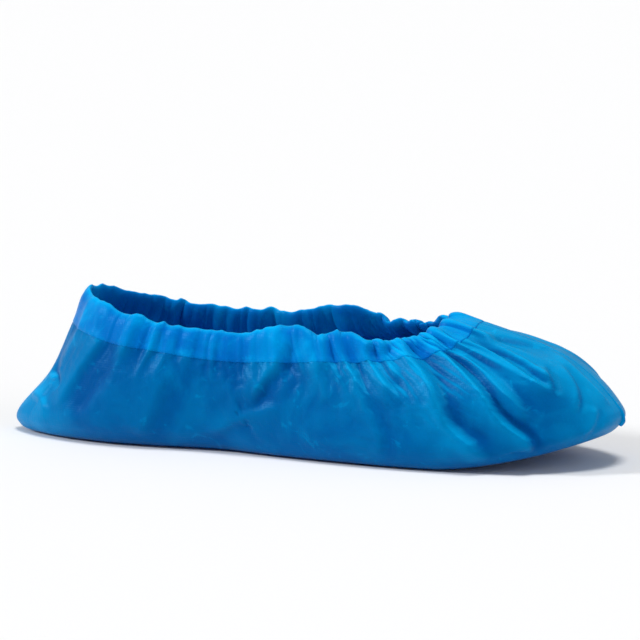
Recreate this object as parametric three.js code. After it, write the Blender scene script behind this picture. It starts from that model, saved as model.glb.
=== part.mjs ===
// Disposable shoe cover, as it stands when it is worn over a work boot.
//
// Units are millimetres. +X is the toe, +Z is up and -Y is the near side. The origin is on the
// inner face of the sole, under the shank of the boot that the cover is pulled over.
//
// The cover is a pouch of thin film, sealed along the toe and the heel. Its mouth is folded over
// into a hem channel, and an elastic band in the channel gathers it round the ankle.

import * as THREE from 'three';

// ---------------------------------------------------------------- driving dimensions
const FILM = 1.0;            // wall of the pouch and of the hem's legs
const GAP = 0.3;             // clearance between neighbouring pieces
const CORNER_INSET = 5.0;    // where the flat sole starts to round up into the wall
const CORNER_CUT = 1.5;      // how far the middle of that rounding stands off the corner
const SPINE_SHARE = 0.8;     // length of the line that the sole is fanned out from, of the sole's
const TOE_SPRING = 17.0;     // how far the sole has risen at the tip of the toe
const SPRING_START = 85.0;   // x where the sole leaves the floor
const SOLE_TIP_X = 170.5;    // x of the sole's foremost point
const SPRING_POWER = 1.5;
const STATIONS = 120;        // sections round the foot
const GIRTH = 800.0;         // rough way round the foot, which turns a share of a turn into mm

// Heights up the wall, as a share of the way from the sole's edge (0) to the mouth (1).
const HEIGHTS = { weld: 0.75, lap: 0.78, mouth: 1.0 };
const WALL_LEVELS = [0.1, 0.2, 0.3, 0.41, 0.52, 0.63, HEIGHTS.weld, HEIGHTS.lap];
const SOLE_SHARES = [0, 0.55];

// ---------------------------------------------------------------- tables
// Half sections of the pouch's inner face, from the toe to the heel. Each cell is
// [x, distance from the middle plane, z]; both sides of the cover share them. The sole's z is
// left out, because its height follows from x.
const COLUMNS = ['sole', 'low', 'high', 'weld', 'mouth'];
const SECTIONS = [
  [[170.5, 0], [174, 0, 29.5], [143.5, 0, 57], [94, 0, 72.5], [76, 0, 72]],
  [[166, 14], [170.5, 18, 27.5], [139.5, 27, 52], [91.5, 19, 67], [73.5, 15, 71]],
  [[155, 28], [158, 32, 23.5], [125.5, 42, 44], [82.5, 30, 61.5], [66, 25, 68]],
  [[137, 41], [139, 45, 19], [103.5, 50, 38.5], [65, 37, 57], [51.5, 32, 65.5]],
  [[107.5, 49.5], [107.5, 54, 15.5], [73.5, 53, 36], [43, 40, 55], [34, 35, 66]],
  [[70, 51.5], [70, 56.5, 14], [42, 51, 35.5], [21.5, 42, 54], [14, 36, 69.5]],
  [[29, 47], [29, 52, 13.5], [10, 47, 36], [-3, 41, 52.5], [-6, 36, 70.5]],
  [[-10, 40], [-9.5, 44, 13], [-21, 44, 35.5], [-27.5, 40, 51], [-27.5, 36, 66.5]],
  [[-44, 32], [-45.5, 39, 13], [-50, 41, 35.5], [-53.5, 39, 51.5], [-50.5, 35, 67]],
  [[-82, 33], [-84, 40, 12.5], [-82, 42, 36], [-79, 38, 54], [-74.5, 34, 68.5]],
  [[-115, 31], [-118, 37, 13], [-111, 37, 37], [-104, 34, 56], [-97.5, 30, 72]],
  [[-150, 19], [-153, 22, 10.5], [-138.5, 22, 35], [-126, 22, 60], [-118, 20, 77]],
  [[-170.5, 0], [-173, 0, 9.5], [-153, 0, 33.5], [-139.5, 0, 62], [-130, 0, 81]],
];

// Main folds. A fold runs down the wall from (topTurn, top) to (footTurn, foot): turns go round
// the foot from the toe (0) by the near side to the heel (0.5) and back by the far side (1).
// A height above 0 is a ridge and one below 0 is a dent.
const FOLDS = [
  { topTurn: 0.112, footTurn: 0.164, top: 0.88, foot: 0.06, height: 2.8, width: 11 },
  { topTurn: 0.077, footTurn: 0.132, top: 0.86, foot: 0.12, height: 2.8, width: 10 },
  { topTurn: 0.049, footTurn: 0.098, top: 0.80, foot: 0.26, height: 2.0, width: 10 },
  { topTurn: 0.020, footTurn: 0.012, top: 0.72, foot: 0.50, height: -1.6, width: 12 },
  { topTurn: 0.030, footTurn: 0.070, top: 0.46, foot: 0.16, height: 1.6, width: 10 },
  { topTurn: 0.159, footTurn: 0.177, top: 0.88, foot: 0.52, height: 1.6, width: 10 },
  { topTurn: 0.190, footTurn: 0.228, top: 0.70, foot: 0.10, height: 2.0, width: 12 },
  { topTurn: 0.251, footTurn: 0.304, top: 0.78, foot: 0.30, height: 2.4, width: 11 },
  { topTurn: 0.290, footTurn: 0.338, top: 0.52, foot: 0.12, height: 1.8, width: 11 },
  { topTurn: 0.306, footTurn: 0.326, top: 0.80, foot: 0.40, height: -1.8, width: 11 },
  { topTurn: 0.360, footTurn: 0.382, top: 0.70, foot: 0.14, height: 2.2, width: 12 },
  { topTurn: 0.402, footTurn: 0.418, top: 0.74, foot: 0.30, height: -2.2, width: 11 },
  { topTurn: 0.432, footTurn: 0.450, top: 0.76, foot: 0.24, height: 2.4, width: 11 },
  { topTurn: 0.575, footTurn: 0.556, top: 0.74, foot: 0.30, height: 2.2, width: 11 },
  { topTurn: 0.604, footTurn: 0.590, top: 0.70, foot: 0.30, height: -1.8, width: 11 },
  { topTurn: 0.638, footTurn: 0.616, top: 0.72, foot: 0.14, height: 2.0, width: 12 },
  { topTurn: 0.706, footTurn: 0.668, top: 0.76, foot: 0.22, height: 2.4, width: 11 },
  { topTurn: 0.742, footTurn: 0.716, top: 0.70, foot: 0.34, height: -1.8, width: 11 },
  { topTurn: 0.800, footTurn: 0.768, top: 0.72, foot: 0.12, height: 2.2, width: 12 },
  { topTurn: 0.872, footTurn: 0.834, top: 0.88, foot: 0.08, height: 2.8, width: 11 },
  { topTurn: 0.914, footTurn: 0.870, top: 0.86, foot: 0.14, height: 2.6, width: 10 },
  { topTurn: 0.950, footTurn: 0.908, top: 0.78, foot: 0.28, height: 2.0, width: 10 },
];

// Where the mouth stands higher or lower than the sections give it, between gathers.
const SCALLOPS = [
  { turn: 0.175, rise: 3.6, width: 14 },
  { turn: 0.205, rise: -2.2, width: 8 },
  { turn: 0.235, rise: 1.2, width: 14 },
  { turn: 0.780, rise: 2.4, width: 16 },
  { turn: 0.830, rise: -1.8, width: 10 },
];

// Gathers under the hem: strongest over the instep, and gone half way down the wall.
const GATHERS = { waves: 30, front: 1.0, back: 0.45, frontTurn: 0.2, fadeFrom: 0.35 };

// Section of the hem channel: how far out of the film's inner face, and the share of the way
// from the weld up to the mouth. It goes up the outer leg, over the top and down the inner leg,
// and then round the inside of the channel, which is open downwards over the film's edge.
const HEM_SECTION = [
  { out: 2.5, up: 0.00 },
  { out: 2.7, up: 0.35 },
  { out: 2.8, up: 0.70 },
  { out: 1.9, up: 0.94 },
  { out: 0.5, up: 1.00 },
  { out: -0.9, up: 0.94 },
  { out: -1.8, up: 0.70 },
  { out: -1.7, up: 0.35 },
  { out: -1.5, up: 0.00 },
  { out: -0.5, up: 0.00 },
  { out: -0.7, up: 0.60 },
  { out: 0.5, up: 0.90 },
  { out: 1.7, up: 0.60 },
  { out: 1.5, up: 0.00 },
];

// Section of the elastic band in that channel, in the same terms.
const ELASTIC_SECTION = [
  { out: 0.9, up: 0.44 },
  { out: 0.9, up: 0.68 },
  { out: 0.1, up: 0.68 },
  { out: 0.1, up: 0.44 },
];

// The sealed edges stand out of the film in the middle plane: how far, at each height.
const SEAM_THICKNESS = 1.0;
const TOE_SEAM = [
  { level: 0.1, proud: 1.8 },
  { level: 0.2, proud: 3.6 },
  { level: 0.3, proud: 3.2 },
  { level: 0.41, proud: 1.8 },
  { level: 0.52, proud: 1.5 },
  { level: 0.63, proud: 1.5 },
];
const HEEL_SEAM = [
  { level: 0.1, proud: 1.5 },
  { level: 0.2, proud: 2.0 },
  { level: 0.3, proud: 2.0 },
  { level: 0.41, proud: 2.0 },
  { level: 0.52, proud: 2.0 },
  { level: 0.63, proud: 1.5 },
];

// ---------------------------------------------------------------- the pouch's inner face
// How high the sole stands at x: flat on the floor, and then sprung up to the toe.
function springHeight(x) {
  const along = Math.max(0, (x - SPRING_START) / (SOLE_TIP_X - SPRING_START));
  return TOE_SPRING * Math.pow(along, SPRING_POWER);
}

function sectionPoint([x, out, z = springHeight(x)], side) {
  return new THREE.Vector3(x, side * out, z);
}

// A closed curve round the foot through one column of SECTIONS.
function ringCurve(name) {
  const column = COLUMNS.indexOf(name);
  const near = SECTIONS.map((row) => sectionPoint(row[column], -1));
  const far = SECTIONS.slice(1, -1).reverse().map((row) => sectionPoint(row[column], 1));
  return new THREE.CatmullRomCurve3([...near, ...far], true, 'catmullrom', 0.5);
}

const RINGS = COLUMNS.map(ringCurve);

function bell(distance, width) {
  return Math.exp(-((distance / width) ** 2));
}

// The shortest way round from one turn to another, in millimetres.
function turnDistance(turn, other) {
  const apart = turn - other - Math.round(turn - other);
  return apart * GIRTH;
}

function scallopRise(turn) {
  const rises = SCALLOPS.map((row) => row.rise * bell(turnDistance(turn, row.turn), row.width));
  return rises.reduce((sum, rise) => sum + rise, 0);
}

// A point of the pouch before it is folded. Above the weld the mouth's scallops lift it.
function smoothWall(turn, level) {
  const corners = RINGS.map((ring) => ring.getPoint((turn + 1) % 1));
  const point = new THREE.CatmullRomCurve3(corners, false, 'catmullrom', 0.5).getPoint(level);
  const hemShare = Math.max(0, (level - HEIGHTS.weld) / (HEIGHTS.mouth - HEIGHTS.weld));
  point.z += hemShare * scallopRise(turn);
  return point;
}

function foldHeight(turn, level, fold) {
  if (level > fold.top || level < fold.foot) {
    return 0;
  }
  const down = (fold.top - level) / (fold.top - fold.foot);
  const crest = THREE.MathUtils.lerp(fold.topTurn, fold.footTurn, down);
  return fold.height * Math.sin(Math.PI * down) * bell(turnDistance(turn, crest), fold.width);
}

function gatherHeight(turn, level) {
  const fromToe = Math.abs(turnDistance(turn, 0)) / GIRTH;
  const depth = fromToe < GATHERS.frontTurn ? GATHERS.front : GATHERS.back;
  const fade = THREE.MathUtils.smoothstep(level, GATHERS.fadeFrom, HEIGHTS.weld);
  return depth * fade * Math.cos(2 * Math.PI * GATHERS.waves * turn);
}

// Folds and gathers die out towards the two sealed edges, which keep the film flat.
function relief(turn, level) {
  const toSeam = Math.min(Math.abs(turnDistance(turn, 0)), Math.abs(turnDistance(turn, 0.5)));
  const free = 1 - bell(toSeam, 12);
  const folds = FOLDS.reduce((sum, fold) => sum + foldHeight(turn, level, fold), 0);
  return free * (folds + gatherHeight(turn, level));
}

const TURN_STEP = 0.002;
const LEVEL_STEP = 0.01;

// Outward normal of a wall given as a function of turn and level.
function wallNormal(wall, turn, level) {
  const along = wall(turn + TURN_STEP, level).sub(wall(turn - TURN_STEP, level));
  const upper = Math.min(1, level + LEVEL_STEP);
  const lower = Math.max(0, level - LEVEL_STEP);
  const up = wall(turn, upper).sub(wall(turn, lower));
  return up.cross(along).normalize();
}

// The folded wall, and the point that stands `out` millimetres proud of it.
function foldedWall(turn, level) {
  const normal = wallNormal(smoothWall, turn, level);
  return smoothWall(turn, level).addScaledVector(normal, relief(turn, level));
}

function offWall(turn, level, out) {
  return foldedWall(turn, level).addScaledVector(wallNormal(foldedWall, turn, level), out);
}

// ---------------------------------------------------------------- solids
// A solid swept round the foot: one list of points for each station. A closed section is a loop;
// an open one starts and ends on the sole's spine, where both sides of the cover meet.
function sweptRound(sections, sectionIsLoop) {
  const corners = [];
  const last = sections[0].length - (sectionIsLoop ? 0 : 1);
  sections.forEach((here, index) => {
    const next = sections[(index + 1) % sections.length];
    for (let k = 0; k < last; k += 1) {
      const above = (k + 1) % here.length;
      corners.push(here[k], here[above], next[above]);
      corners.push(here[k], next[above], next[k]);
    }
  });
  return new THREE.BufferGeometry().setFromPoints(corners);
}

function stationTurns() {
  return Array.from({ length: STATIONS }, (_, index) => index / STATIONS);
}

// The sole from its spine out to where it starts to round up, and the middle of the rounding.
function solePoints(turn, out) {
  const mirrored = Math.min(turn, 1 - turn);
  const edge = RINGS[0].getPoint(turn);
  const spine = new THREE.Vector3(SPINE_SHARE * RINGS[0].getPoint(mirrored).x, 0, 0);
  const inward = spine.clone().sub(edge).setZ(0).normalize();
  const flatEdge = edge.clone().addScaledVector(inward, CORNER_INSET);
  const flat = SOLE_SHARES.map((share) => spine.clone().lerp(flatEdge, share));
  const points = [...flat, flatEdge].map((point) => point.setZ(springHeight(point.x) - out));
  const corner = edge.clone().addScaledVector(inward, CORNER_CUT - out * Math.SQRT1_2);
  corner.z = springHeight(corner.x) + CORNER_CUT - out * Math.SQRT1_2;
  return [...points, corner];
}

function filmBag() {
  const sections = stationTurns().map((turn) => {
    const wall = (out) => WALL_LEVELS.map((level) => offWall(turn, level, out));
    const outer = [...solePoints(turn, FILM), ...wall(FILM)];
    const inner = [...solePoints(turn, 0), ...wall(0)];
    return [...outer, ...inner.reverse()];
  });
  return sweptRound(sections, false);
}

function hemRing(section) {
  const height = HEIGHTS.mouth - HEIGHTS.weld;
  const sections = stationTurns().map((turn) =>
    section.map(({ out, up }) => offWall(turn, HEIGHTS.weld + height * up, out)));
  return sweptRound(sections, true);
}

// A sealed edge: a thin fin on the film's outer face in the middle plane.
function seamFin(turn, rows) {
  const flat = (point) => new THREE.Vector2(point.x, point.z);
  const foot = rows.map((row) => flat(offWall(turn, row.level, FILM + GAP)));
  const crest = rows.map((row) => flat(offWall(turn, row.level, FILM + GAP + row.proud)));
  const shape = new THREE.Shape([...foot, ...crest.reverse()]);
  const fin = new THREE.ExtrudeGeometry(shape, { depth: SEAM_THICKNESS, bevelEnabled: false });
  fin.rotateX(Math.PI / 2);
  fin.translate(0, SEAM_THICKNESS / 2, 0);
  return fin;
}

// ---------------------------------------------------------------- materials and assembly
const film = new THREE.MeshStandardMaterial({ color: '#0b73b8', roughness: 0.35, metalness: 0 });
const doubleFilm = new THREE.MeshStandardMaterial({ color: '#0d88d8', roughness: 0.35, metalness: 0 });
const rubber = new THREE.MeshStandardMaterial({ color: '#e6e9ec', roughness: 0.6, metalness: 0 });

function piece(name, geometry, material) {
  const mesh = new THREE.Mesh(geometry, material);
  mesh.name = name;
  return mesh;
}

const group = new THREE.Group();
group.add(piece('film_bag', filmBag(), film));
group.add(piece('hem_channel', hemRing(HEM_SECTION), doubleFilm));
group.add(piece('elastic_band', hemRing(ELASTIC_SECTION), rubber));
group.add(piece('toe_seam', seamFin(0, TOE_SEAM), doubleFilm));
group.add(piece('heel_seam', seamFin(0.5, HEEL_SEAM), doubleFilm));

export default group;
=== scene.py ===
"""Shoe cover: the film pouch, its gathered hem, elastic band and sealed edges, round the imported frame.

Lengths are in millimetres up to the last step, which writes the meshes in metres.
+X is the toe, +Z is up and -Y is the near side. A `turn` goes round the foot from the toe (0)
by the near side to the heel (0.5) and back by the far side (1). A `level` goes up the wall from
the sole's edge (0) to the mouth (1), and the hem is sealed to the pouch at WELD.
"""

import math

import bmesh
import bpy
import numpy as np
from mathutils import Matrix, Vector


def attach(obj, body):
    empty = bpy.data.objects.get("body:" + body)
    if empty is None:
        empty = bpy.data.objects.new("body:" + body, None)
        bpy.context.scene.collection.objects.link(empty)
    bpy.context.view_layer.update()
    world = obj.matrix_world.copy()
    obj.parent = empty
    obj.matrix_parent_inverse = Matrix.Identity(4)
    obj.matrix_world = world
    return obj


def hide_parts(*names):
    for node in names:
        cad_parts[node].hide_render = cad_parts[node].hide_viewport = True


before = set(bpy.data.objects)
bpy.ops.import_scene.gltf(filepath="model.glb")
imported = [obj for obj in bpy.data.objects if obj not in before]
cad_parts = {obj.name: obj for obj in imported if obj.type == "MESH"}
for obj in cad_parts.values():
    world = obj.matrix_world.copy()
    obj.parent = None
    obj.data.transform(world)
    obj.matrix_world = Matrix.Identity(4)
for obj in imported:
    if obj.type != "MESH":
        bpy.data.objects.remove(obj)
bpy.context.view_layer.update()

MM = 0.001
SEED = 7

# ---------------------------------------------------------------- sizes
WELD = 0.75
LAP = 0.775               # the pouch's film ends this high, inside the hem
GIRTH = 800.0             # rough way round the foot, which turns a share of a turn into mm
CORNER_RADIUS = 4.0       # rounding between the sole and the wall
SPINE_SHARE = 0.8         # the sole's middle line is this share of the sole's length
SOLE_TIP_X = 170.5
TOE_SPRING = 17.0         # how far the sole's tip stands off the floor
SPRING_START = 85.0       # the sole begins to rise here
SPRING_POWER = 1.5
FILM_THICKNESS = 0.35     # drawn thicker than the real film, so that its edges catch light
BAG_STATIONS = 560        # grid columns round the foot
HEM_STATIONS = 720
WALL_ROWS = 72
WALL_FOOT = 0.1           # level of the wall's first row, above the rounded corner
SOLE_SHARES = (0, 0.1, 0.22, 0.36, 0.5, 0.64, 0.78, 0.9, 1.0)  # rows from the middle line out
CORNER_SHARES = (0.2, 0.4, 0.6, 0.8)                           # rows round the corner
CREST_POINTS = 110        # points along a fold's line

# Half sections of the pouch's inner face from the toe to the heel: x, distance from the middle
# plane and z. They are the CAD model's own sections, so both models have one outline.
SECTION_COLUMNS = ("sole", "low", "high", "weld", "mouth")
SECTIONS = [
    ((170.5, 0, None), (174, 0, 29.5), (143.5, 0, 57), (94, 0, 72.5), (76, 0, 72)),
    ((166, 14, None), (170.5, 18, 27.5), (139.5, 27, 52), (91.5, 19, 67), (73.5, 15, 71)),
    ((155, 28, None), (158, 32, 23.5), (125.5, 42, 44), (82.5, 30, 61.5), (66, 25, 68)),
    ((137, 41, None), (139, 45, 19), (103.5, 50, 38.5), (65, 37, 57), (51.5, 32, 65.5)),
    ((107.5, 49.5, None), (107.5, 54, 15.5), (73.5, 53, 36), (43, 40, 55), (34, 35, 66)),
    ((70, 51.5, None), (70, 56.5, 14), (42, 51, 35.5), (21.5, 42, 54), (14, 36, 69.5)),
    ((29, 47, None), (29, 52, 13.5), (10, 47, 36), (-3, 41, 52.5), (-6, 36, 70.5)),
    ((-10, 40, None), (-9.5, 44, 13), (-21, 44, 35.5), (-27.5, 40, 51), (-27.5, 36, 66.5)),
    ((-44, 32, None), (-45.5, 39, 13), (-50, 41, 35.5), (-53.5, 39, 51.5), (-50.5, 35, 67)),
    ((-82, 33, None), (-84, 40, 12.5), (-82, 42, 36), (-79, 38, 54), (-74.5, 34, 68.5)),
    ((-115, 31, None), (-118, 37, 13), (-111, 37, 37), (-104, 34, 56), (-97.5, 30, 72)),
    ((-150, 19, None), (-153, 22, 10.5), (-138.5, 22, 35), (-126, 22, 60), (-118, 20, 77)),
    ((-170.5, 0, None), (-173, 0, 9.5), (-153, 0, 33.5), (-139.5, 0, 62), (-130, 0, 81)),
]

# Where the mouth stands higher or lower than the sections give it, between gathers.
SCALLOPS = [
    # turn, rise, width
    (0.174, 3.8, 13),
    (0.205, -2.6, 6),
    (0.236, 1.4, 14),
    (0.110, 1.0, 8),
    (0.780, 2.4, 16),
    (0.830, -1.8, 10),
    (0.890, 1.2, 8),
    (0.985, 2.6, 5),
    (0.008, -1.2, 6),
]

STEEP = 0.5                # a ridge's width on the side towards the toe, as a share of its own
GENTLE = 1.5               # and towards the heel
GENTLE_POWER = 1.15        # below 2 the ridge's gentle side is peaked rather than rounded
GROOVE_PLACE = 1.3         # the groove's distance from the ridge, as a share of the ridge's width
GROOVE_WIDTH = 0.75        # and its own width
FADE = 0.22                # share of a fold's length over which it rises at either end
FOLD_FOOT = 0.12           # the folds die out from this level down to the sole's edge
CALM_DEPTH = 0.85          # how much of a fold or gather is lost at the two sealed edges
CALM_WIDTH = 9
MOUTH_SOFTENING = 0.35     # how much of a gather is lost between the weld and the mouth

# Long folds of the wall. Each runs through its (turn, level) points, from the hem down. Height
# is that of the ridge, or of the dent below 0; groove is the dent beside it, on the toe's side.
FOLDS = [
    # points, height, width, groove
    ([(0.112, 0.97), (0.128, 0.68), (0.152, 0.48), (0.170, 0.30), (0.157, 0.04)], 4.0, 5.6, 1.8),
    ([(0.071, 0.92), (0.106, 0.54), (0.131, 0.34), (0.130, 0.06)], 3.6, 3.8, 2.4),
    ([(0.062, 0.80), (0.086, 0.57), (0.097, 0.44), (0.112, 0.34)], 1.6, 4.5, 1.0),
    ([(0.034, 0.80), (0.049, 0.62), (0.057, 0.53), (0.062, 0.41)], 2.2, 3.0, 0.5),
    ([(0.038, 0.74), (0.043, 0.59), (0.055, 0.46)], -1.5, 3.4, 0.0),
    ([(0.027, 0.70), (0.039, 0.55), (0.047, 0.46)], 1.8, 3.2, 0.0),
    ([(0.032, 0.53), (0.046, 0.47), (0.062, 0.42)], 1.4, 2.6, 0.9),
    ([(0.026, 0.70), (0.012, 0.60), (-0.004, 0.50)], -2.8, 6.5, 0.0),
    ([(0.018, 0.50), (0.036, 0.40), (0.070, 0.32)], 1.2, 3.0, 1.0),
    ([(0.002, 0.56), (0.013, 0.42), (0.016, 0.28)], 1.3, 3.0, 0.7),
    ([(0.036, 0.32), (0.059, 0.25), (0.078, 0.17)], 0.8, 3.0, 0.5),
    ([(0.143, 1.02), (0.158, 0.84), (0.170, 0.66), (0.176, 0.50)], 2.6, 4.0, 1.8),
    ([(0.128, 0.98), (0.146, 0.78), (0.156, 0.60)], 1.8, 3.6, 1.4),
    ([(0.183, 0.96), (0.190, 0.72), (0.206, 0.50), (0.232, 0.12)], 1.4, 4.6, 0.8),
    ([(0.204, 1.02), (0.206, 0.84), (0.214, 0.66)], 1.8, 3.4, 1.4),
    ([(0.240, 0.98), (0.254, 0.78), (0.276, 0.60), (0.304, 0.38)], 2.0, 4.6, 1.1),
    ([(0.264, 0.44), (0.312, 0.33), (0.340, 0.20)], 1.1, 5.0, 0.5),
    ([(0.290, 0.80), (0.303, 0.48)], -1.0, 5.0, 0.0),
    ([(0.352, 0.76), (0.370, 0.41), (0.384, 0.12)], 1.1, 9.0, 0.4),
    ([(0.404, 0.76), (0.418, 0.48), (0.432, 0.26)], -1.7, 8.0, 0.0),
    ([(0.430, 0.78), (0.439, 0.59), (0.447, 0.30)], 2.2, 7.0, 0.0),
    ([(0.450, 0.42), (0.468, 0.49), (0.486, 0.51)], -2.4, 4.2, 0.0),
    ([(0.448, 0.28), (0.468, 0.36), (0.488, 0.38)], 1.4, 4.5, 0.0),
    ([(0.575, 0.76), (0.566, 0.52), (0.556, 0.28)], 2.2, 8.0, 0.8),
    ([(0.606, 0.72), (0.590, 0.34)], -1.8, 9.0, 0.0),
    ([(0.642, 0.78), (0.628, 0.44), (0.616, 0.14)], 2.0, 9.0, 0.8),
    ([(0.704, 0.80), (0.690, 0.52), (0.664, 0.24)], 2.2, 6.5, 1.2),
    ([(0.744, 0.76), (0.730, 0.50), (0.716, 0.32)], -1.6, 7.0, 0.0),
    ([(0.800, 0.80), (0.790, 0.46), (0.766, 0.12)], 2.0, 7.0, 1.0),
    ([(0.840, 0.86), (0.826, 0.62), (0.810, 0.44)], 1.6, 5.0, 1.0),
    ([(0.884, 0.90), (0.862, 0.60), (0.838, 0.36), (0.834, 0.10)], 3.0, 6.5, 1.6),
    ([(0.922, 0.88), (0.900, 0.58), (0.876, 0.38), (0.868, 0.14)], 2.8, 5.5, 1.8),
    ([(0.952, 0.80), (0.924, 0.56), (0.906, 0.32)], 1.8, 5.5, 1.0),
    ([(0.976, 0.70), (0.968, 0.52), (0.950, 0.36)], 1.2, 5.5, 0.6),
]

# How hard the elastic gathers the mouth at each turn, for small, middling and broad gathers.
GATHER_STRENGTH = [
    # turn, small, middling, broad
    (0.000, 0.6, 0.5, 0.3),
    (0.060, 1.1, 1.0, 0.8),
    (0.120, 0.9, 0.9, 0.9),
    (0.150, 0.3, 0.3, 0.5),
    (0.200, 0.6, 0.8, 1.0),
    (0.245, 0.5, 0.9, 0.8),
    (0.280, 0.2, 0.3, 0.5),
    (0.330, 0.7, 0.8, 0.5),
    (0.410, 0.7, 0.8, 0.5),
    (0.460, 0.3, 0.4, 0.4),
    (0.500, 0.2, 0.2, 0.3),
    (0.600, 0.7, 0.7, 0.5),
    (0.720, 0.5, 0.8, 0.8),
    (0.830, 0.7, 0.9, 1.0),
    (0.940, 1.1, 1.0, 0.8),
]

# The three sizes of gather: spacing and height in mm, how far down the wall they reach as a
# share of the wall, and how far they lean towards the heel on the way down.
GATHERS = [
    # spacing, height, reach, lean
    (5.0, 0.36, 0.08, 0.010),
    (10.0, 0.85, 0.26, 0.024),
    (21.0, 1.10, 0.36, 0.045),
]


# ---------------------------------------------------------------- the pouch's inner face
def spring_height(x):
    along = np.clip((x - SPRING_START) / (SOLE_TIP_X - SPRING_START), 0, None)
    return TOE_SPRING * along**SPRING_POWER


def ring_points(column):
    near = np.array([row[column][:2] + (row[column][2] or 0,) for row in SECTIONS], float)
    if column == 0:
        near[:, 2] = spring_height(near[:, 0])
    near[:, 1] *= -1
    far = near[1:-1][::-1] * (1, -1, 1)
    return np.concatenate([near, far])


RINGS = [ring_points(column) for column in range(len(SECTION_COLUMNS))]


def catmull_rom(before, start, end, after, t):
    t = t[..., None]
    line = 2 * start + (end - before) * t
    square = (2 * before - 5 * start + 4 * end - after) * t**2
    cube = (3 * start - before - 3 * end + after) * t**3
    return 0.5 * (line + square + cube)


def round_ring(points, turns):
    count = len(points)
    place = (turns % 1.0) * count
    index = np.floor(place).astype(int) % count
    neighbours = [points[(index + step) % count] for step in (-1, 0, 1, 2)]
    return catmull_rom(*neighbours, place - np.floor(place))


def bell(distance, width):
    return np.exp(-((distance / width) ** 2))


def turn_distance(turns, other):
    apart = turns - other
    return (apart - np.round(apart)) * GIRTH


def smooth_wall(turns, levels):
    """Points of the pouch before it is folded, for arrays of turns and levels of one shape."""
    rings = [round_ring(points, turns) for points in RINGS]
    rings = [2 * rings[0] - rings[1], *rings, 2 * rings[-1] - rings[-2]]
    spans = len(RINGS) - 1
    place = np.clip(levels, 0, 1) * spans
    index = np.minimum(np.floor(place).astype(int), spans - 1)
    out = np.zeros(turns.shape + (3,))
    for span in range(spans):
        here = index == span
        corners = [ring[here] for ring in rings[span : span + 4]]
        out[here] = catmull_rom(*corners, (place - span)[here])
    hem_share = np.clip((levels - WELD) / (1 - WELD), 0, None)
    rise = sum(height * bell(turn_distance(turns, turn), width) for turn, height, width in SCALLOPS)
    out[..., 2] += hem_share * rise
    return out


def grid_normals(points):
    """Outward normals of a wall grid: the first axis goes round the foot, the second one up."""
    along = np.roll(points, -1, axis=0) - np.roll(points, 1, axis=0)
    up = np.gradient(points, axis=1)
    normals = np.cross(up, along)
    return normals / np.linalg.norm(normals, axis=-1, keepdims=True)


# ---------------------------------------------------------------- folds and gathers
def smooth_steps(x):
    x = np.clip(x, 0, 1)
    return x * x * (3 - 2 * x)


def fold_crest(places):
    """A smooth line on the wall through a fold's places, as points and their turns."""
    places = np.array(places, float)
    t = np.linspace(0, len(places) - 1, CREST_POINTS)
    index = np.minimum(t.astype(int), len(places) - 2)
    padded = np.concatenate([[2 * places[0] - places[1]], places, [2 * places[-1] - places[-2]]])
    line = catmull_rom(*(padded[index + step] for step in range(4)), t - index)
    return line, smooth_wall(line[:, 0], line[:, 1])


def toe_side(turns, other):
    """1 where a turn is nearer to the toe than the other one, and -1 where it is nearer to the heel."""
    return np.sign(turn_distance(other, turns)) * np.where(turns % 1.0 < 0.5, 1, -1)


def fold_relief(points, turns, fold):
    """Height of one fold at the grid's points: it is steep towards the toe, with a groove there."""
    places, height, width, groove = fold
    line, crest = fold_crest(places)
    apart = points[..., None, :] - crest
    distance = np.linalg.norm(apart, axis=-1)
    nearest = distance.argmin(axis=-1)
    gap = np.take_along_axis(distance, nearest[..., None], axis=-1)[..., 0]
    side = toe_side(turns, line[nearest, 0])
    along = nearest / (len(line) - 1)
    ends = smooth_steps(np.minimum(along, 1 - along) / FADE)
    steep = bell(gap, width * STEEP)
    gentle = np.exp(-((gap / (width * GENTLE)) ** GENTLE_POWER))
    dent = groove * bell(gap * side - GROOVE_PLACE * width, width * GROOVE_WIDTH)
    return ends * (height * np.where(side > 0, steep, gentle) - dent)


def ridge_noise(random, spacing, samples=8192):
    """One number round the mouth, as irregular pleats: narrow ridges and broad valleys."""
    along = np.arange(samples) / samples
    total = np.zeros(samples)
    count = int(GIRTH / spacing)
    for index in range(count):
        centre = (index + random.uniform(-0.6, 0.6)) / count
        width = spacing * random.uniform(0.2, 0.6)
        height = random.uniform(0.15, 1.0)
        gap = np.abs(turn_distance(along, centre))
        total += height * np.exp(-((gap / width) ** 1.6))
    return (total - total.mean()) / total.std()


def sampled(values, turns):
    place = (turns % 1.0) * len(values)
    low = np.floor(place).astype(int)
    share = place - low
    return values[low % len(values)] * (1 - share) + values[(low + 1) % len(values)] * share


RUFFLE = 0.55              # how much the mouth's edge goes up and down between gathers
RUFFLE_SHIFT = 0.004       # how far round these rises stand from the gathers themselves

RANDOM = np.random.default_rng(SEED)
PLEATS = [ridge_noise(RANDOM, spacing) for spacing, *_ in GATHERS]


def gather_relief(turns, levels):
    """In-and-out of the gathers: full at the weld, gone a little way down, softer at the mouth."""
    table = np.array(GATHER_STRENGTH + [(1.0, *GATHER_STRENGTH[0][1:])])
    total = np.zeros(turns.shape)
    for size, (_, height, reach, lean) in enumerate(GATHERS):
        strength = np.interp(turns % 1.0, table[:, 0], table[:, size + 1])
        below = np.clip((WELD - levels) / reach, 0, None)
        side = np.where((turns % 1.0) < 0.5, 1, -1)
        slid = turns - side * lean * below * reach
        fade = smooth_steps(1 - below)
        top = 1 - MOUTH_SOFTENING * smooth_steps((levels - WELD) / (1 - WELD))
        total += strength * height * fade * top * sampled(PLEATS[size], slid)
    return total


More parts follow.
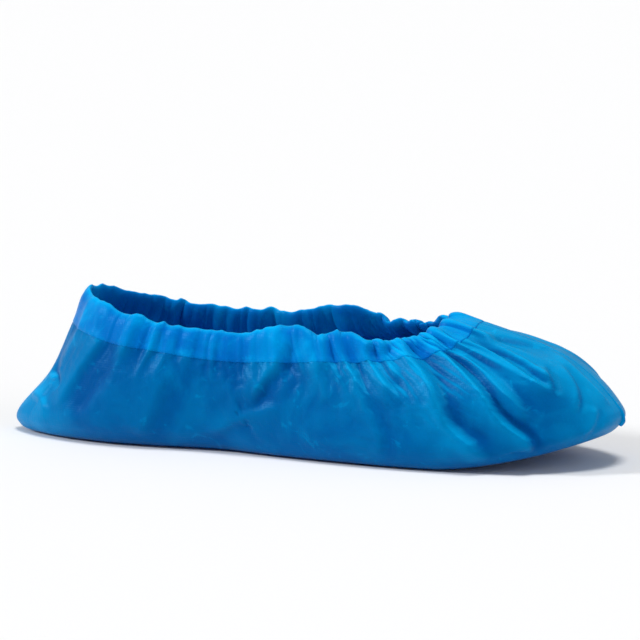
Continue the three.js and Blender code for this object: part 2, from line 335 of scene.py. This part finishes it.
def calm(turns):
    """Folds die out towards the two sealed edges."""
    to_seam = np.minimum(np.abs(turn_distance(turns, 0)), np.abs(turn_distance(turns, 0.5)))
    return 1 - CALM_DEPTH * bell(to_seam, CALM_WIDTH)


def long_folds(turns, levels):
    """How far every point of the wall is moved along its normal by the long folds."""
    points = smooth_wall(turns, levels)
    relief = sum(fold_relief(points, turns, fold) for fold in FOLDS)
    move = relief * smooth_steps(levels / FOLD_FOOT) * calm(turns)
    return grid_normals(points) * move[..., None]


def gathered_wall(turns, levels):
    points = smooth_wall(turns, levels)
    hem_share = np.clip((levels - WELD) / (1 - WELD), 0, None)
    points[..., 2] += RUFFLE * hem_share * sampled(PLEATS[1], turns + RUFFLE_SHIFT)
    return points + grid_normals(points) * (gather_relief(turns, levels) * calm(turns))[..., None]


def folded_wall(turns, levels):
    return gathered_wall(turns, levels) + long_folds(turns, levels)


# ---------------------------------------------------------------- settling the film
# The film is longer round the foot than the form it is pulled over, more so towards the hem. It
# hardly stretches, so the spare length buckles into creases. The solver below lets it: each round
# pulls every edge of the grid towards its cut length. The film inside the hem and the wall's first
# row are held still. The long folds are added once the film has settled.
SLACK = [
    # level, spare length round the foot
    (0.00, 0.000),
    (0.25, 0.004),
    (0.45, 0.018),
    (0.65, 0.055),
    (0.75, 0.090),
]
SLACK_ROUND = [
    # turn, share of the spare length
    (0.00, 0.10),
    (0.12, 0.20),
    (0.17, 0.9),
    (0.30, 0.8),
    (0.38, 0.4),
    (0.50, 0.3),
    (0.58, 0.9),
    (0.83, 0.9),
    (0.88, 0.20),
    (1.00, 0.10),
]
PULL = 0.9                # how much of an edge's wrong length is put right in each round
BEND = 0.06               # how strongly the film springs back flat, in each round
ANCHOR = 0.004            # how strongly it is drawn back to its gathered form
DEEPEST = -2.2            # how far it may sink towards the foot
PROUDEST = 4.5            # how far it may stand off
ROUNDS = 260
NOISE_HEIGHT = 0.35       # small unevenness that the creases start from
NOISE_SMOOTHINGS = 3
HELD_BELOW_WELD = 0.004    # the film is held still from this far below the weld
FOOT_BLEND = 0.1           # the unevenness grows over this many levels above the first row
WELD_BLEND = 0.03          # and dies out over this many below the weld


def edge_sets(rows, columns):
    """Edges of the grid as (first, second, kind), in sets that share no point."""
    index = np.arange(rows * columns).reshape(rows, columns)
    ahead = np.roll(index, -1, axis=0)
    ahead_two = np.roll(index, -2, axis=0)
    sets = []
    for parity in (0, 1):
        sets.append((index[parity::2].ravel(), ahead[parity::2].ravel(), "round"))
        sets.append((index[:, parity:-1:2].ravel(), index[:, parity + 1 :: 2].ravel(), "up"))
        sets.append((index[parity::2, :-1].ravel(), ahead[parity::2, 1:].ravel(), "slant"))
        sets.append((index[parity::2, 1:].ravel(), ahead[parity::2, :-1].ravel(), "slant"))
    for start in (0, 2):
        pair = np.concatenate([index[start::4], index[start + 1 :: 4]])
        other = np.concatenate([ahead_two[start::4], ahead_two[start + 1 :: 4]])
        sets.append((pair.ravel(), other.ravel(), "bend"))
    for start in range(4):
        first = index[:, start:-2:4]
        second = index[:, start + 2 :: 4]
        sets.append((first.ravel(), second.ravel(), "bend"))
    return sets


# Share of the spare length that each kind of edge gets.
SPARE_SHARES = {"round": 1.0, "up": 0.1, "slant": 0.55, "bend": 0.7}


def cut_lengths(sets, smooth, gathered, slack):
    """The length that each edge was cut to: the smooth form's, and its spare length round."""
    lengths = []
    smooth = smooth.reshape(-1, 3)
    gathered = gathered.reshape(-1, 3)
    slack = slack.ravel()
    for first, second, kind in sets:
        plain = np.linalg.norm(smooth[second] - smooth[first], axis=1)
        shaped = np.linalg.norm(gathered[second] - gathered[first], axis=1)
        spare = 0.5 * (slack[first] + slack[second])
        lengths.append(np.maximum(plain * (1 + SPARE_SHARES[kind] * spare), shaped))
    return lengths


def start_noise(shape):
    noise = np.random.default_rng(SEED).normal(size=shape)
    for _ in range(NOISE_SMOOTHINGS):
        noise = (np.roll(noise, 1, 0) + noise + np.roll(noise, -1, 0)) / 3
        noise[:, 1:-1] = (noise[:, :-2] + noise[:, 1:-1] + noise[:, 2:]) / 3
    return noise * (NOISE_HEIGHT / noise.std())


def settled(turns, levels):
    """The wall after its spare length has buckled, with the long folds added."""
    smooth = smooth_wall(turns, levels)
    normals = grid_normals(smooth)
    gathered = gathered_wall(turns, levels)
    by_level = np.array(SLACK)
    by_turn = np.array(SLACK_ROUND)
    loose = calm(turns) * np.interp(turns, by_turn[:, 0], by_turn[:, 1])
    slack = loose * np.interp(levels, by_level[:, 0], by_level[:, 1])
    sets = edge_sets(*turns.shape)
    lengths = cut_lengths(sets, smooth, gathered, slack)
    first_level = levels.min()
    held = (levels >= WELD - HELD_BELOW_WELD) | (levels <= first_level + 1e-6)
    free = (~held).astype(float).ravel()
    hold = smooth_steps((levels - first_level) / FOOT_BLEND) * smooth_steps((WELD - levels) / WELD_BLEND)

    rough = start_noise(turns.shape) * hold * loose
    points = (gathered + normals * rough[..., None]).reshape(-1, 3)
    target = gathered.reshape(-1, 3)
    base = smooth.reshape(-1, 3)
    normal = normals.reshape(-1, 3)

    for _ in range(ROUNDS):
        for (first, second, kind), length in zip(sets, lengths):
            apart = points[second] - points[first]
            now = np.sqrt((apart * apart).sum(axis=1))
            weight = free[first] + free[second] + 1e-9
            strength = BEND if kind == "bend" else PULL
            move = apart * (strength * (now - length) / (now * weight))[:, None]
            points[first] += move * free[first][:, None]
            points[second] -= move * free[second][:, None]
        points += (target - points) * (ANCHOR * free)[:, None]
        off = ((points - base) * normal).sum(axis=1)
        points += normal * ((np.clip(off, DEEPEST, PROUDEST) - off) * free)[:, None]
    return points.reshape(turns.shape + (3,)) + long_folds(turns, levels)


# ---------------------------------------------------------------- meshes
def grid_faces(rows, columns, round_rows=True):
    """Quads of a grid whose first axis closes on itself."""
    faces = []
    last = rows if round_rows else rows - 1
    for i in range(last):
        near, far = i * columns, ((i + 1) % rows) * columns
        for j in range(columns - 1):
            faces.append((near + j, near + j + 1, far + j + 1, far + j))
    return faces


STAND_OFF = "stand_off"   # a mesh attribute: how far the film stands off its plain form, in mm


def stand_off(wall, turns, levels):
    smooth = smooth_wall(turns, levels)
    return ((wall - smooth) * grid_normals(smooth)).sum(axis=-1)


def record_stand_off(piece, values):
    attribute = piece.data.attributes.new(STAND_OFF, "FLOAT", "POINT")
    attribute.data.foreach_set("value", np.asarray(values, np.float32).ravel())


def new_object(name, points, faces, material):
    mesh = bpy.data.meshes.new(name)
    mesh.from_pydata((np.asarray(points).reshape(-1, 3) * MM).tolist(), [], faces)
    mesh.validate()
    mesh.update()
    mesh.materials.append(material)
    mesh.polygons.foreach_set("use_smooth", [True] * len(mesh.polygons))
    piece = bpy.data.objects.new(name, mesh)
    bpy.context.scene.collection.objects.link(piece)
    return piece


def thicken(piece, thickness):
    """Give a sheet its thickness, half of it on either side."""
    solidify = piece.modifiers.new("thickness", "SOLIDIFY")
    solidify.thickness = thickness * MM
    solidify.offset = 0.0
    bpy.context.view_layer.objects.active = piece
    with bpy.context.temp_override(object=piece, active_object=piece):
        bpy.ops.object.modifier_apply(modifier=solidify.name)


def merge_close(piece, distance):
    shape = bmesh.new()
    shape.from_mesh(piece.data)
    bmesh.ops.remove_doubles(shape, verts=shape.verts, dist=distance * MM)
    shape.to_mesh(piece.data)
    shape.free()


def sole_rows(turns, wall_foot):
    """The sole from its spine out to the wall's first row, with a rounded corner."""
    edge = round_ring(RINGS[0], turns)
    mirrored = np.minimum(turns, 1 - turns)
    spine = np.zeros_like(edge)
    spine[:, 0] = SPINE_SHARE * round_ring(RINGS[0], mirrored)[:, 0]
    inward = spine - edge
    inward[:, 2] = 0
    inward /= np.linalg.norm(inward, axis=1, keepdims=True)
    flat_edge = edge + inward * CORNER_RADIUS
    rows = []
    for share in SOLE_SHARES:
        row = spine + (flat_edge - spine) * share
        row[:, 2] = spring_height(row[:, 0])
        rows.append(row)
    start = rows[-1]
    corner = edge.copy()
    corner[:, 2] = spring_height(corner[:, 0])
    for t in CORNER_SHARES:
        rows.append((1 - t) ** 2 * start + 2 * t * (1 - t) * corner + t**2 * wall_foot)
    return np.stack(rows, axis=1)


def film_bag(material):
    """The pouch, and the two lines of its wall that the sealed edges stand on."""
    turns = np.arange(BAG_STATIONS) / BAG_STATIONS
    levels = np.linspace(WALL_FOOT, LAP, WALL_ROWS)
    place = np.meshgrid(turns, levels, indexing="ij")
    wall = settled(*place)
    sole = sole_rows(turns, wall[:, 0])
    points = np.concatenate([sole, wall], axis=1)
    piece = new_object("film_bag_soft", points, grid_faces(*points.shape[:2]), material)
    off = stand_off(wall, *place)
    record_stand_off(piece, np.concatenate([np.zeros(sole.shape[:2]), off], axis=1))
    merge_close(piece, 0.01)
    thicken(piece, FILM_THICKNESS)
    normals = grid_normals(wall)
    middle = BAG_STATIONS // 2
    toe_line = (levels, wall[0], normals[0])
    heel_line = (levels, wall[middle], normals[middle])
    return piece, toe_line, heel_line


# The hem's section from the weld up the outer leg, over the top and down the inner leg: how far
# out of the film, and the share of the way up to the mouth.
HEM_PROFILE = [
    (-0.05, -0.04), (0.30, 0.00), (0.42, 0.10), (0.66, 0.20), (1.00, 0.30), (1.40, 0.42),
    (1.75, 0.55), (1.95, 0.68), (1.80, 0.80), (1.35, 0.90), (0.75, 0.97), (0.05, 1.00),
    (-0.65, 0.97), (-1.20, 0.90), (-1.55, 0.80), (-1.70, 0.66), (-1.60, 0.50), (-1.30, 0.34),
    (-0.90, 0.20), (-0.60, 0.10), (-0.50, -0.04),
]


HEM_LEVELS = 26            # levels at which the wall under the hem is worked out
HEM_FOOT = WELD - 0.02     # the lowest of them, a little below the weld


def hem_channel(material):
    """The hem's section, carried round the mouth on the folded wall."""
    turns = np.arange(HEM_STATIONS) / HEM_STATIONS
    levels = np.linspace(HEM_FOOT, 1, HEM_LEVELS)
    grid = np.meshgrid(turns, levels, indexing="ij")
    wall = folded_wall(*grid)
    normals = grid_normals(wall)
    off = stand_off(wall, *grid)
    rows = []
    row_off = []
    for out, up in HEM_PROFILE:
        level = WELD + up * (1 - WELD)
        place = max((level - HEM_FOOT) / (1 - HEM_FOOT) * (HEM_LEVELS - 1), 0)
        low = min(int(place), HEM_LEVELS - 2)
        share = place - low
        point = wall[:, low] * (1 - share) + wall[:, low + 1] * share
        normal = normals[:, low] * (1 - share) + normals[:, low + 1] * share
        rows.append(point + normal * out)
        row_off.append(off[:, low] * (1 - share) + off[:, low + 1] * share)
    points = np.stack(rows, axis=1)
    piece = new_object("hem_soft", points, grid_faces(*points.shape[:2]), material)
    record_stand_off(piece, np.stack(row_off, axis=1))
    thicken(piece, FILM_THICKNESS)
    return piece


# ---------------------------------------------------------------- sealed edges and elastic
SEAM_ROWS = 5
SEAM_STEPS = 200
SEAM_THICKNESS = 0.3
SEAM_LIFT = 0.1            # how far the strip's free edge stands off the middle of the film
SEAM_SINK = 0.35           # how much deeper its foot is set, so that no edge shows there
FOOT_LEAN = 0.35           # share of the lean that the foot already has
LONG_RUFFLE = (0.41, 1.3, 0.6)    # radians per mm, start and share of the height
SHORT_RUFFLE = (0.95, 0.0, 1.0)

# The sealed edges: how wide the strip is at each level, how far it leans over to the far side,
# and how much its free edge ruffles.
TOE_SEAM = [
    # level, width, lean in degrees, ruffle
    (0.03, 1.0, 40, 0.2),
    (0.08, 1.8, 30, 0.5),
    (0.15, 2.2, 35, 0.7),
    (0.22, 1.8, 55, 0.5),
    (0.30, 1.3, 85, 0.2),
    (0.50, 1.1, 92, 0.1),
    (0.74, 1.1, 92, 0.1),
]
HEEL_SEAM = [
    (0.03, 1.0, 45, 0.2),
    (0.12, 1.5, 60, 0.3),
    (0.25, 1.6, 80, 0.2),
    (0.45, 1.6, 90, 0.1),
    (0.74, 1.5, 92, 0.1),
]


def seam_strip(name, rows, wall_line, material):
    """A strip that stands out of the film along a line of its wall and leans over to the far side."""
    levels, base, normals = wall_line
    table = np.array(rows)
    at = np.linspace(table[0, 0], table[-1, 0], SEAM_STEPS)
    line = np.stack([np.interp(at, levels, base[:, k]) for k in range(3)], axis=1)
    out = np.stack([np.interp(at, levels, normals[:, k]) for k in range(3)], axis=1)
    out[:, 1] = 0
    out /= np.linalg.norm(out, axis=1, keepdims=True)
    width = np.interp(at, table[:, 0], table[:, 1])
    lean = np.radians(np.interp(at, table[:, 0], table[:, 2]))
    ruffle = np.interp(at, table[:, 0], table[:, 3])
    length = np.concatenate([[0], np.cumsum(np.linalg.norm(np.diff(line, axis=0), axis=1))])
    wave = sum(
        share * np.sin(length * rate + start) for rate, start, share in (SHORT_RUFFLE, LONG_RUFFLE)
    )
    aside = np.array([0.0, 1.0, 0.0])
    shape = []
    for share in np.linspace(0, 1, SEAM_ROWS):
        curl = lean * (FOOT_LEAN + (1 - FOOT_LEAN) * share)
        step = out * np.cos(curl)[:, None] + aside * np.sin(curl)[:, None]
        point = line + step * (width * share)[:, None] + aside * (ruffle * wave * share**2)[:, None]
        shape.append(point + out * (SEAM_LIFT - SEAM_SINK * (1 - share) ** 2))
    points = np.stack(shape, axis=1)
    faces = grid_faces(*points.shape[:2], round_rows=False)
    piece = new_object(name, points, faces, material)
    thicken(piece, SEAM_THICKNESS)
    return piece


BAND_OUT = (-0.25, 0.75)   # the band's two faces: how far out of the film
BAND_UP = (0.42, 0.68)     # its two edges: share of the way up the hem
BAND_ROWS = 5


def elastic_band(material):
    """The flat band inside the hem. It follows the hem's gathers."""
    turns = np.arange(HEM_STATIONS) / HEM_STATIONS
    levels = WELD + (1 - WELD) * np.linspace(*BAND_UP, BAND_ROWS)
    wall = folded_wall(*np.meshgrid(turns, levels, indexing="ij"))
    normals = grid_normals(wall)
    outer = wall + normals * BAND_OUT[1]
    inner = (wall + normals * BAND_OUT[0])[:, ::-1]
    points = np.concatenate([outer, inner, outer[:, :1]], axis=1)
    piece = new_object("elastic_soft", points, grid_faces(*points.shape[:2]), material)
    merge_close(piece, 0.001)
    return piece


# ---------------------------------------------------------------- materials
def nodes_of(name):
    material = bpy.data.materials.new(name)
    material.use_nodes = True
    tree = material.node_tree
    tree.nodes.clear()
    return material, tree


def node(tree, kind, inputs=None, **settings):
    made = tree.nodes.new(kind)
    for key, value in settings.items():
        setattr(made, key, value)
    for key, value in (inputs or {}).items():
        if isinstance(value, bpy.types.NodeSocket):
            tree.links.new(value, made.inputs[key])
        else:
            made.inputs[key].default_value = value
    return made


def span(tree, value, start, end):
    """0 where a value is at `start` and 1 where it is at `end`, held to that range."""
    inputs = {"Value": value, "From Min": start, "From Max": end}
    return node(tree, "ShaderNodeMapRange", inputs).outputs["Result"]


def math_node(tree, operation, *values, clamp=False):
    inputs = dict(enumerate(values))
    made = node(tree, "ShaderNodeMath", inputs, operation=operation, use_clamp=clamp)
    return made.outputs["Value"]


# How much each thing makes the film paler, nearly all of it painted light and shade: painted glow at the
# toe and heel, painted top light on level faces, painted light on ridges with painted shade in hollows,
# and painted crease highlights.
PAINTED_LIGHT_START = -0.09
PAINTED_GLOW_ENDS = 0.34
PAINTED_TOP_LIGHT = 0.70
PAINTED_RELIEF_LIGHT = 0.42
PAINTED_CREASE_HIGHLIGHTS = 0.16
TOE_PAINTED_GLOW_FROM_TO = (0.145, 0.176)       # metres along the foot
HEEL_PAINTED_GLOW_FROM_TO = (-0.125, -0.165)


def painted_light_and_mottle(tree, place, normal, mottle):
    """How pale the film is: painted top light where it lies level, painted light where it stands off and
    painted shade where it sinks, painted glow at both ends, painted crease highlights, and random paler
    patches where it is thin.
    """
    across = node(tree, "ShaderNodeSeparateXYZ", {"Vector": place})
    facing = node(tree, "ShaderNodeSeparateXYZ", {"Vector": normal})
    off = node(tree, "ShaderNodeAttribute", attribute_name=STAND_OFF)
    # Painted glow: the toe and the heel are paler, as if light came through the film there.
    toe = span(tree, across.outputs["X"], *TOE_PAINTED_GLOW_FROM_TO)
    heel = span(tree, across.outputs["X"], *HEEL_PAINTED_GLOW_FROM_TO)
    ends = math_node(tree, "MAXIMUM", toe, heel)
    # Painted top light: faces that turn upwards are paler.
    level = span(tree, facing.outputs["Z"], 0.45, 1.0)
    # Painted light and shade: film that stands off its plain form is paler, film sunk into grooves is
    # darker.
    painted_relief_light = span(tree, off.outputs["Fac"], -2.0, 3.0)
    thin = node(
        tree, "ShaderNodeTexNoise",
        {"Vector": place, "Scale": 30.0, "Detail": 4.0, "Distortion": 1.2},
    )
    patches = span(tree, thin.outputs["Fac"], 0.48, 0.66)
    # Painted highlights: small bright crinkles scattered over the film.
    highlight_noise = node(
        tree, "ShaderNodeTexNoise",
        {"Vector": place, "Scale": 55.0, "Detail": 6.0, "Roughness": 0.6, "Distortion": 2.0},
    )
    creases = span(tree, highlight_noise.outputs["Fac"], 0.60, 0.67)
    total = math_node(tree, "MULTIPLY_ADD", ends, PAINTED_GLOW_ENDS, PAINTED_LIGHT_START)
    total = math_node(tree, "MULTIPLY_ADD", level, PAINTED_TOP_LIGHT, total)
    total = math_node(tree, "MULTIPLY_ADD", painted_relief_light, PAINTED_RELIEF_LIGHT, total)
    total = math_node(tree, "MULTIPLY_ADD", creases, PAINTED_CREASE_HIGHLIGHTS, total)
    return math_node(tree, "MULTIPLY_ADD", patches, mottle, total, clamp=True)


def film_material(name, deep, light, glow, mottle):
    """Thin embossed film: a deep blue and a pale blue of painted light and shade, crumple gloss, and
    light coming through.
    """
    material, tree = nodes_of(name)
    spot = node(tree, "ShaderNodeTexCoord")
    place = spot.outputs["Object"]
    colour = node(
        tree, "ShaderNodeMix",
        {
            "Factor": painted_light_and_mottle(tree, place, spot.outputs["Normal"], mottle),
            "A": (*deep, 1),
            "B": (*light, 1),
        },
        data_type="RGBA",
    )
    emboss = node(
        tree, "ShaderNodeTexVoronoi", {"Vector": place, "Scale": 820.0, "Randomness": 0.1}
    )
    crumple = node(
        tree, "ShaderNodeTexNoise",
        {"Vector": place, "Scale": 140.0, "Detail": 4.0, "Roughness": 0.55, "Distortion": 0.6},
    )
    fine = node(
        tree, "ShaderNodeBump",
        {"Height": emboss.outputs["Distance"], "Strength": 0.45, "Distance": 0.0002},
    )
    bump = node(
        tree, "ShaderNodeBump",
        {
            "Height": crumple.outputs["Fac"],
            "Strength": 0.3,
            "Distance": 0.0012,
            "Normal": fine.outputs["Normal"],
        },
    )
    shader = node(
        tree, "ShaderNodeBsdfPrincipled",
        {
            "Base Color": colour.outputs["Result"],
            "Roughness": 0.35,
            "IOR": 1.25,
            "Specular Tint": (0.02, 0.55, 1.0, 1),
            "Normal": bump.outputs["Normal"],
        },
    )
    through = node(
        tree, "ShaderNodeBsdfTranslucent",
        {"Color": (*glow, 1), "Normal": bump.outputs["Normal"]},
    )
    mixed = node(
        tree, "ShaderNodeMixShader",
        {0: 0.2, 1: shader.outputs["BSDF"], 2: through.outputs["BSDF"]},
    )
    node(tree, "ShaderNodeOutputMaterial", {"Surface": mixed.outputs["Shader"]})
    return material


def plain_material(name, colour, roughness):
    material, tree = nodes_of(name)
    shader = node(
        tree, "ShaderNodeBsdfPrincipled", {"Base Color": (*colour, 1), "Roughness": roughness}
    )
    node(tree, "ShaderNodeOutputMaterial", {"Surface": shader.outputs["BSDF"]})
    return material


# ---------------------------------------------------------------- scene
# Suns light the floor evenly out to its edges, so the floor has no visible end.
SUNS = [
    # name, direction that the light comes from, strength, softness in degrees
    ("top", (0.15, -0.20, 1.0), 1.7, 20),
    ("side", (-0.90, -0.45, 0.50), 1.9, 10),
    ("fill", (0.9, -0.4, 0.45), 0.5, 40),
]
SKY_LIGHT = 0.3
FLOOR_LEVEL = -0.0012
FLOOR_HALF = 40.0


def studio_world():
    """Soft light from all round. Beyond the floor's end the same white shows as on the floor."""
    world = bpy.data.worlds.new("studio")
    world.use_nodes = True
    tree = world.node_tree
    tree.nodes.clear()
    seen = node(tree, "ShaderNodeLightPath").outputs["Is Camera Ray"]
    soft = node(tree, "ShaderNodeBackground", {"Color": (0.97, 0.98, 1.0, 1), "Strength": SKY_LIGHT})
    white = node(tree, "ShaderNodeBackground", {"Color": (1, 1, 1, 1), "Strength": 1.0})
    inputs = {0: seen, 1: soft.outputs["Background"], 2: white.outputs["Background"]}
    mixed = node(tree, "ShaderNodeMixShader", inputs)
    node(tree, "ShaderNodeOutputWorld", {"Surface": mixed.outputs["Shader"]})
    return world


def studio():
    scene = bpy.context.scene
    scene.view_settings.view_transform = "Standard"
    scene.world = studio_world()

    mesh = bpy.data.meshes.new("floor")
    corners = [
        (x * FLOOR_HALF, y * FLOOR_HALF, FLOOR_LEVEL) for x, y in ((-1, -1), (1, -1), (1, 1), (-1, 1))
    ]
    mesh.from_pydata(corners, [], [(0, 1, 2, 3)])
    mesh.materials.append(plain_material("floor_paper", (0.88, 0.88, 0.88), 0.9))
    floor = bpy.data.objects.new("floor", mesh)
    scene.collection.objects.link(floor)

    for name, direction, strength, softness in SUNS:
        data = bpy.data.lights.new(name, "SUN")
        data.energy = strength
        data.angle = math.radians(softness)
        lamp = bpy.data.objects.new(name, data)
        lamp.rotation_mode = "QUATERNION"
        lamp.rotation_quaternion = (-Vector(direction)).to_track_quat("-Z", "Y")
        scene.collection.objects.link(lamp)


CAMERA_AZIMUTH = 19.0      # round from the near side towards the toe
CAMERA_ELEVATION = 9.5
CAMERA_DISTANCE = 4.0
CAMERA_TARGET = (0.003, 0.001, 0.069)
VIEW_WIDTH = 0.3493        # what the picture's width takes in, at the target
SENSOR_WIDTH = 36


def camera():
    azimuth = math.radians(CAMERA_AZIMUTH)
    elevation = math.radians(CAMERA_ELEVATION)
    back = Vector((
        math.sin(azimuth) * math.cos(elevation),
        -math.cos(azimuth) * math.cos(elevation),
        math.sin(elevation),
    ))
    data = bpy.data.cameras.new("camera")
    data.sensor_width = SENSOR_WIDTH
    data.lens = SENSOR_WIDTH * CAMERA_DISTANCE / VIEW_WIDTH
    made = bpy.data.objects.new("camera", data)
    made.location = Vector(CAMERA_TARGET) + back * CAMERA_DISTANCE
    made.rotation_mode = "QUATERNION"
    made.rotation_quaternion = (-back).to_track_quat("-Z", "Y")
    bpy.context.scene.collection.objects.link(made)
    bpy.context.scene.camera = made


# ---------------------------------------------------------------- assembly
camera()
studio()

# Each film is mixed from its deep blue, its colour in shade, to its pale blue of painted light, on level
# faces, ridges, the toe and heel and the painted crease highlights; random patches add a little too.
film = film_material("film", (0.0, 0.092, 0.33), (0.0, 0.50, 0.96), (0.0, 0.34, 0.90), 0.10)
seam_film = film_material("seam_film", (0.0, 0.12, 0.42), (0.0, 0.50, 0.96), (0.0, 0.34, 0.9), 0.1)
hem_film = film_material("hem_film", (0.0, 0.16, 0.58), (0.0, 0.52, 1.0), (0.0, 0.42, 1.0), 0.28)
rubber = plain_material("rubber", (0.75, 0.77, 0.78), 0.6)

bag, toe_line, heel_line = film_bag(film)
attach(bag, "root")
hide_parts("film_bag")

hem = hem_channel(hem_film)
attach(hem, "root")
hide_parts("hem_channel")

band = elastic_band(rubber)
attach(band, "root")
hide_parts("elastic_band")

for name, rows, line in (
    ("toe_seam", TOE_SEAM, toe_line),
    ("heel_seam", HEEL_SEAM, heel_line),
):
    strip = seam_strip(name + "_soft", rows, line, seam_film)
    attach(strip, "root")
    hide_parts(name)
